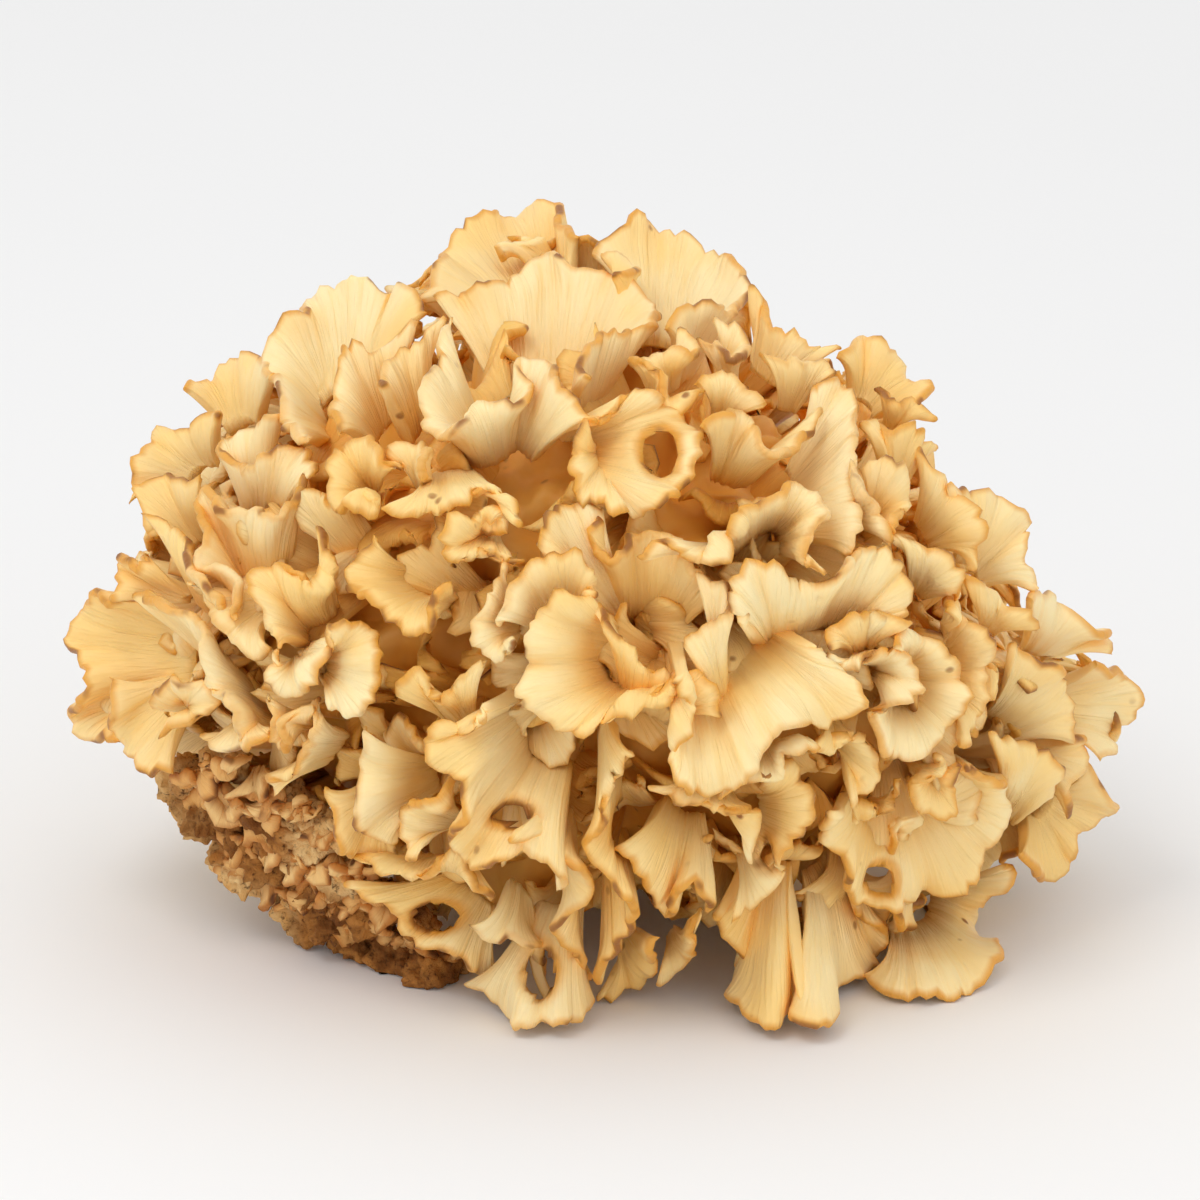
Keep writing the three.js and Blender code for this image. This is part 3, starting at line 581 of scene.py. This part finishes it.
def core():
    """The solid flesh that all fronds grow from, with its flat cut foot on the ground."""
    columns, rows = CORE_STEPS
    draw = np.random.default_rng(5)
    azimuth = np.linspace(0, 2 * math.pi, columns, endpoint=False)
    polar = np.linspace(0, math.pi, rows)[1:-1]
    ring = np.sin(polar)[None, :]
    unit = np.stack([np.cos(azimuth)[:, None] * ring, np.sin(azimuth)[:, None] * ring,
                     np.cos(polar)[None, :] + 0 * azimuth[:, None]], axis=-1)
    radii = np.array([HALF_WIDTH, HALF_DEPTH, HALF_HEIGHT]) - CORE_SINK
    body = np.vstack([unit.reshape(-1, 3), [[0, 0, 1], [0, 0, -1]]])
    points = CENTRE + body * radii
    points += body * (2.6 * lumps(points, 17, draw) + 1.2 * lumps(points, 8, draw))[:, None]
    low = points[:, 2] < FOOT_TOP
    away = points[:, :2] - FOOT_CENTRE
    far = np.linalg.norm(away, axis=1)
    wanted = FOOT_RADIUS + 1.5 * lumps(points, 21, draw)
    pull = np.clip((FOOT_TOP - points[:, 2]) / FOOT_BLEND, 0, 1) ** 0.6
    scale = np.where(far > 1, 1 + pull * (np.minimum(wanted, 2.2 * far) / np.maximum(far, 1) - 1), 1)
    points[:, :2] = np.where(low[:, None], FOOT_CENTRE + away * scale[:, None], points[:, :2])
    points[:, 2] = np.where(low, np.maximum(points[:, 2] - FOOT_DROP * pull, GROUND_GAP), points[:, 2])
    index = np.arange(columns * (rows - 2)).reshape(columns, rows - 2)
    wrapped = np.vstack([index, index[:1]])
    top, bottom = columns * (rows - 2), columns * (rows - 2) + 1
    faces = [tuple(face) for face in quads(wrapped)]
    for k in range(columns):
        faces.append((wrapped[k, 0], wrapped[k + 1, 0], top))
        faces.append((wrapped[k + 1, -1], wrapped[k, -1], bottom))
    values = np.full(len(points), 20.0)
    return points, faces, {"edge": values, "strand": values, "shade": 0 * values + 0.5}


def unit_ball(levels):
    """A ball of triangles, its points and faces, made in Blender and read back."""
    bpy.ops.mesh.primitive_ico_sphere_add(subdivisions=levels, radius=1)
    ball = bpy.context.object
    points = np.array([v.co[:] for v in ball.data.vertices])
    faces = [tuple(f.vertices) for f in ball.data.polygons]
    bpy.data.objects.remove(ball)
    return points, faces


CRUST = [(-90, -36), (-86, -41), (-80, -40), (-76, -46), (-82, -49), (-78, -55), (-71, -50), (-66, -56),
         (-72, -60), (-64, -62), (-60, -55), (-56, -62), (-58, -68), (-52, -66), (-50, -73), (-44, -70),
         (-42, -75), (-66, -42), (-60, -47), (-72, -38), (-84, -33), (-54, -56), (-48, -62), (-37, -74)]
CRUMBS_EACH = 4
CRUMB_LEVELS = 4
CRUMB_SINK = 13
CRUST_SINK = 9


def crust_height(a, b):
    return front_height(a, b) - CRUST_SINK


def gnarls():
    """Small crooked fronds that stand between the lumps of the rooting base."""
    draw = np.random.default_rng(41)
    made = []
    for a, b in CRUST:
        for _ in range(2):
            rim = winding_rim(draw.uniform(14, 24), 1.4, draw)
            rim += [a + draw.uniform(-4, 4), b + draw.uniform(-3, 3)]
            root = (a + draw.uniform(-3, 3), b + draw.uniform(-1, 6), 12)
            made.append(frond(front_place, crust_height, root, rim, (-2, 2, -1), 3, 1.0, 0.5))
    return made


def crumbs():
    """Knobbly lumps of the rooting base, in the lower left of the front."""
    ball, faces = unit_ball(CRUMB_LEVELS)
    draw = np.random.default_rng(23)
    made = []
    for a, b in CRUST:
        for _ in range(CRUMBS_EACH):
            across = a + draw.uniform(-5, 5)
            height = b + draw.uniform(-4.5, 4.5)
            size = draw.uniform(2.2, 5.6)
            sunk = float(dome(across, height)) - CRUMB_SINK - draw.uniform(0, 8)
            depth = max(sunk, float(ground_height(height)) + size * 0.6)
            middle = front_place(np.array(across), np.array(height), np.array(depth))
            points = middle + ball * size * draw.uniform(0.75, 1.2, 3)
            rough = 0.20 * lumps(points, 5.0, draw) + 0.14 * lumps(points, 2.1, draw)
            points = points + ball * (size * rough)[:, None]
            points[:, 2] = np.maximum(points[:, 2], GROUND_GAP)
            values = np.full(len(points), 9.0)
            shade = 0 * values + draw.uniform(0, 1)
            made.append((points, faces, {"edge": values, "strand": values, "shade": shade}))
    return made


# ---- materials -----------------------------------------------------------------------------------
# Noise scales, in cells to the metre; the streaks are in cells to the millimetre.
CLOUD_SCALE = 32.0
STREAK_SCALE = 0.9
GRAIN_SCALE = 420.0
NIB_SCALE = 130.0
SPOT_SCALE = 95.0
WRINKLE_SCALE = 230.0
SHADOW_REACH = 14.0  # flesh with other flesh this near, in mm, takes the painted crevice shade
SEEP_DEPTH = 3.2  # how far light seeps into the flesh, in mm


class Nodes:
    """Short ways to add nodes to a new material."""

    def __init__(self, name):
        self.material = bpy.data.materials.new(name)
        self.material.use_nodes = True
        self.tree = self.material.node_tree
        self.tree.nodes.clear()

    def add(self, kind, **values):
        node = self.tree.nodes.new(kind)
        for key, value in values.items():
            setattr(node, key, value)
        return node

    def link(self, output, socket):
        self.tree.links.new(output, socket)

    def value(self, name):
        return self.add("ShaderNodeAttribute", attribute_name=name).outputs["Fac"]

    def math(self, operation, first, second=0.0, clamp=False):
        node = self.add("ShaderNodeMath", operation=operation, use_clamp=clamp)
        for socket, given in zip(node.inputs, (first, second)):
            if isinstance(given, (int, float)):
                socket.default_value = given
            else:
                self.link(given, socket)
        return node.outputs[0]

    def fade(self, source, low, high):
        """0 where source is low, 1 where it is high, smooth between."""
        node = self.add("ShaderNodeMapRange", interpolation_type="SMOOTHSTEP")
        self.link(source, node.inputs["Value"])
        node.inputs["From Min"].default_value = low
        node.inputs["From Max"].default_value = high
        return node.outputs["Result"]

    def mix(self, factor, first, second):
        node = self.add("ShaderNodeMix", data_type="RGBA")
        self.link(factor, node.inputs[0])
        for socket, given in ((node.inputs[6], first), (node.inputs[7], second)):
            if isinstance(given, tuple):
                socket.default_value = linear(given)
            else:
                self.link(given, socket)
        return node.outputs[2]

    def noise(self, vector, scale, detail=3.0, roughness=0.55):
        node = self.add("ShaderNodeTexNoise")
        self.link(vector, node.inputs["Vector"])
        node.inputs["Scale"].default_value = scale
        node.inputs["Detail"].default_value = detail
        node.inputs["Roughness"].default_value = roughness
        return node.outputs["Fac"]

    def bump(self, height, distance, strength, normal=None):
        node = self.add("ShaderNodeBump")
        node.inputs["Distance"].default_value = distance
        node.inputs["Strength"].default_value = strength
        self.link(height, node.inputs["Height"])
        if normal is not None:
            self.link(normal, node.inputs["Normal"])
        return node.outputs["Normal"]


def linear(colour):
    """An 8-bit screen colour as a linear one."""
    shares = [c / 255 for c in colour]
    return (*(c / 12.92 if c <= 0.04 else ((c + 0.055) / 1.055) ** 2.4 for c in shares), 1.0)


def flesh_material(name, faces, middle, crevice_shade, rim, speck, gloss, seep):
    """Waxy flesh: paler on faces, with amber painted shade in the crevices, golden rims and brown nibs."""
    n = Nodes(name)
    place = n.add("ShaderNodeTexCoord").outputs["Object"]
    edge = n.value("edge")
    deep = n.value("deep")
    shade = n.value("shade")
    strand = n.add("ShaderNodeCombineXYZ")
    n.link(n.value("strand"), strand.inputs[0])
    n.link(n.math("MULTIPLY", edge, 0.07), strand.inputs[1])
    n.link(n.math("MULTIPLY", shade, 90.0), strand.inputs[2])
    streak = n.noise(strand.outputs[0], STREAK_SCALE, 2.0, 0.6)
    cloud = n.noise(place, CLOUD_SCALE, 2.0, 0.6)
    grain = n.noise(place, GRAIN_SCALE, 1.0, 0.6)
    # Painted shade: the crevice colour is mixed in by depth below the outer dome and where ambient occlusion
    # finds other flesh close by.
    occlusion = n.add("ShaderNodeAmbientOcclusion", samples=1)
    occlusion.inputs["Distance"].default_value = SHADOW_REACH * MM
    occlusion_shade = n.math("SUBTRACT", 1.0, occlusion.outputs["AO"])
    tone = n.mix(n.fade(n.math("ADD", cloud, n.math("MULTIPLY", shade, 0.25)), 0.42, 0.82), faces, middle)
    tone = n.mix(n.math("MULTIPLY", n.fade(streak, 0.45, 0.8), 0.45), tone, middle)
    sunk = n.math("MULTIPLY", n.fade(deep, 0.3, 1.0), 0.6)
    shadowed = n.math("MULTIPLY", n.fade(occlusion_shade, 0.5, 1.0), 0.55)
    depth = n.math("MINIMUM", n.math("ADD", sunk, shadowed), 1.0)
    tone = n.mix(depth, tone, crevice_shade)
    band = n.math("SUBTRACT", 1.0, n.fade(edge, 0.2, 2.2))
    tone = n.mix(n.math("MULTIPLY", band, n.fade(cloud, 0.25, 0.52)), tone, rim)
    nib = n.noise(place, NIB_SCALE, 1.0, 0.5)
    tip = n.math("SUBTRACT", 1.0, n.fade(edge, 0.0, 1.1))
    tone = n.mix(n.math("MULTIPLY", tip, n.fade(nib, 0.52, 0.64)), tone, speck)
    cells = n.add("ShaderNodeTexVoronoi")
    n.link(place, cells.inputs["Vector"])
    cells.inputs["Scale"].default_value = SPOT_SCALE
    spot = n.math("SUBTRACT", 1.0, n.fade(cells.outputs["Distance"], 0.05, 0.13))
    tone = n.mix(n.math("MULTIPLY", spot, n.fade(cloud, 0.5, 0.62)), tone, speck)
    shader = n.add("ShaderNodeBsdfPrincipled", subsurface_method="BURLEY")
    n.link(tone, shader.inputs["Base Color"])
    n.link(n.math("ADD", n.math("MULTIPLY", grain, 0.22), gloss), shader.inputs["Roughness"])
    shader.inputs["Subsurface Weight"].default_value = seep
    shader.inputs["Subsurface Radius"].default_value = (1.0, 0.62, 0.24)
    shader.inputs["Subsurface Scale"].default_value = SEEP_DEPTH * MM
    shader.inputs["IOR"].default_value = 1.42
    ridges = n.bump(streak, 0.9 * MM, 0.75)
    wrinkles = n.bump(n.noise(place, WRINKLE_SCALE, 2.0, 0.62), 0.4 * MM, 0.6, ridges)
    n.link(wrinkles, shader.inputs["Normal"])
    n.link(shader.outputs[0], n.add("ShaderNodeOutputMaterial").inputs["Surface"])
    return n.material


def crust_material():
    """Dry, earthy brown crust, pitted and mottled."""
    n = Nodes("crust")
    place = n.add("ShaderNodeTexCoord").outputs["Object"]
    cloud = n.noise(place, 95.0, 5.0, 0.65)
    grain = n.noise(place, 600.0, 4.0, 0.7)
    region = n.noise(place, 26.0, 2.0, 0.5)
    soil = n.mix(n.fade(cloud, 0.35, 0.65), (124, 74, 32), (190, 128, 62))
    clean = n.mix(n.fade(cloud, 0.35, 0.65), (214, 158, 88), (244, 206, 144))
    tone = n.mix(n.fade(region, 0.47, 0.60), soil, clean)
    tone = n.mix(n.fade(grain, 0.52, 0.72), tone, (84, 48, 22))
    shader = n.add("ShaderNodeBsdfPrincipled")
    n.link(tone, shader.inputs["Base Color"])
    n.link(n.math("ADD", n.math("MULTIPLY", grain, 0.3), 0.6), shader.inputs["Roughness"])
    shader.inputs["Specular IOR Level"].default_value = 0.15
    coarse = n.bump(n.noise(place, 260.0, 5.0, 0.7), 1.2 * MM, 0.9)
    n.link(n.bump(grain, 0.4 * MM, 0.8, coarse), shader.inputs["Normal"])
    n.link(shader.outputs[0], n.add("ShaderNodeOutputMaterial").inputs["Surface"])
    return n.material


def floor_material():
    """A matt, pale studio surface with the faintest mottling."""
    n = Nodes("studio_floor")
    place = n.add("ShaderNodeTexCoord").outputs["Object"]
    tone = n.mix(n.noise(place, 3.0), (243, 243, 243), (246, 246, 246))
    shader = n.add("ShaderNodeBsdfPrincipled")
    n.link(tone, shader.inputs["Base Color"])
    shader.inputs["Roughness"].default_value = 0.9
    shader.inputs["Specular IOR Level"].default_value = 0.1
    n.link(shader.outputs[0], n.add("ShaderNodeOutputMaterial").inputs["Surface"])
    return n.material


# ---- making the pieces ------------------------------------------------------------------------------
DEEP_REACH = 36.0  # a point this far below the outer dome has the full painted crevice shade


def deepness(points):
    """0 on the outer dome, 1 deep in the crevices."""
    radii = np.array([HALF_WIDTH, HALF_DEPTH, HALF_HEIGHT])
    share = np.linalg.norm((points - CENTRE) / radii, axis=1)
    return np.clip((1 - share) * HALF_HEIGHT / DEEP_REACH, 0, 1)


def mesh_from(name, parts, material):
    """One object from many closed bodies, with their values kept on its points."""
    mesh = bpy.data.meshes.new(name)
    points, faces, start = [], [], 0
    for body_points, body_faces, _ in parts:
        points.append(body_points)
        faces.extend(tuple(int(i) + start for i in face) for face in body_faces)
        start += len(body_points)
    points = np.vstack(points)
    points[:, 2] = np.maximum(points[:, 2], GROUND_GAP)
    mesh.from_pydata((points * MM).tolist(), [], faces)
    for key in ("edge", "strand", "shade"):
        values = np.concatenate([part[2][key] for part in parts])
        mesh.attributes.new(key, "FLOAT", "POINT").data.foreach_set("value", values.astype(np.float32))
    # The depth below the dome, which the flesh material turns into painted shade in the crevices.
    depths = deepness(points).astype(np.float32)
    mesh.attributes.new("deep", "FLOAT", "POINT").data.foreach_set("value", depths)
    mesh.materials.append(material)
    mesh.shade_smooth()
    piece = bpy.data.objects.new(name, mesh)
    bpy.context.collection.objects.link(piece)
    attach(piece, "root")
    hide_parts(NODE)
    return piece


def front_group(rows):
    made = []
    for root, proud, bow, rim in rows:
        holes = HOLES.get(root[:2], ())
        made.append(frond(front_place, front_height, root, rim, proud, bow, holes=holes))
    return made


cream = flesh_material("cream_flesh", (253, 233, 178), (251, 214, 136), (246, 180, 70), (228, 164, 68),
                       (158, 102, 46), 0.34, 0.40)
# Painted shade: a darker, deeper-yellow copy of the cream flesh for the parts that sit in shade deep inside.
shaded_amber = flesh_material("shaded_amber_flesh", (250, 214, 134), (246, 196, 98), (240, 164, 54), (228, 164, 68),
                       (140, 88, 40), 0.38, 0.40)
earthy = flesh_material("earthy_flesh", (246, 206, 138), (232, 174, 98), (186, 116, 46), (196, 126, 54),
                        (112, 66, 26), 0.62, 0.15)
crust = crust_material()

mesh_from("fronds_crown", front_group(CROWN), cream)
mesh_from("fronds_upper_left", front_group(UPPER_LEFT), cream)
mesh_from("fronds_left", front_group(LEFT), cream)
mesh_from("fronds_centre", front_group(CENTRE_FRONDS), cream)
mesh_from("fronds_right", front_group(RIGHT_FRONDS), cream)
mesh_from("fronds_lower", front_group(LOWER), cream)
behind = wild_fronds(230, is_behind, (-5, 4), 34, (42, 80), 6, 1.8)
middle = len(behind) // 2
mesh_from("fronds_behind_high", behind[:middle], cream)
mesh_from("fronds_behind_low", behind[middle:], cream)
mesh_from("fronds_between", wild_fronds(210, is_in_front, (-14, -8), 20, (28, 50), 3, 2.0), cream)
# The inner fronds and the core wear the darker flesh as painted shade.
mesh_from("fronds_inner", wild_fronds(120, is_anywhere, (-21, -15), 20, (36, 62), 4, 3.0), shaded_amber)
core_points, core_faces, core_values = core()
mesh_from("body_core", [(within_outline(core_points), core_faces, core_values)], shaded_amber)
mesh_from("rooting_crust", crumbs(), crust)
mesh_from("rooting_gnarls", gnarls(), earthy)


# ---- the stage, the light and the camera ---------------------------------------------------------------
def stage_floor():
    bpy.ops.mesh.primitive_plane_add(size=12)
    floor = bpy.context.object
    floor.name = "floor"
    floor.data.materials.append(floor_material())


def area_light(name, spot, size, power, colour=(1.0, 1.0, 1.0)):
    data = bpy.data.lights.new(name, "AREA")
    data.size = size
    data.energy = power
    data.color = colour
    lamp = bpy.data.objects.new(name, data)
    lamp.location = spot
    lamp.rotation_euler = (Vector(CENTRE * MM) - Vector(spot)).to_track_quat("-Z", "Y").to_euler()
    bpy.context.collection.objects.link(lamp)


def sky(strength):
    world = bpy.data.worlds.new("studio")
    world.use_nodes = True
    world.node_tree.nodes["Background"].inputs["Color"].default_value = (1.0, 1.0, 1.0, 1.0)
    world.node_tree.nodes["Background"].inputs["Strength"].default_value = strength
    bpy.context.scene.world = world


def camera(distance, width, raised):
    """A long lens at the photograph's angle, which sees `width` across at the body."""
    data = bpy.data.cameras.new("camera")
    data.sensor_width = 36
    data.lens = data.sensor_width * distance / width
    data.clip_end = 40
    eye = bpy.data.objects.new("camera", data)
    target = (CENTRE + raised * RISE) * MM
    eye.location = Vector(target + distance * OUT)
    eye.rotation_euler = Vector(-OUT).to_track_quat("-Z", "Y").to_euler()
    bpy.context.collection.objects.link(eye)
    bpy.context.scene.camera = eye


stage_floor()
sky(0.87)
area_light("key", (-0.5, -0.6, 1.3), 0.6, 4.6)
area_light("fill", (0.9, -1.0, 0.6), 1.0, 1.2)
camera(1.9, 0.269, 5.6)
bpy.context.scene.view_settings.view_transform = "Standard"
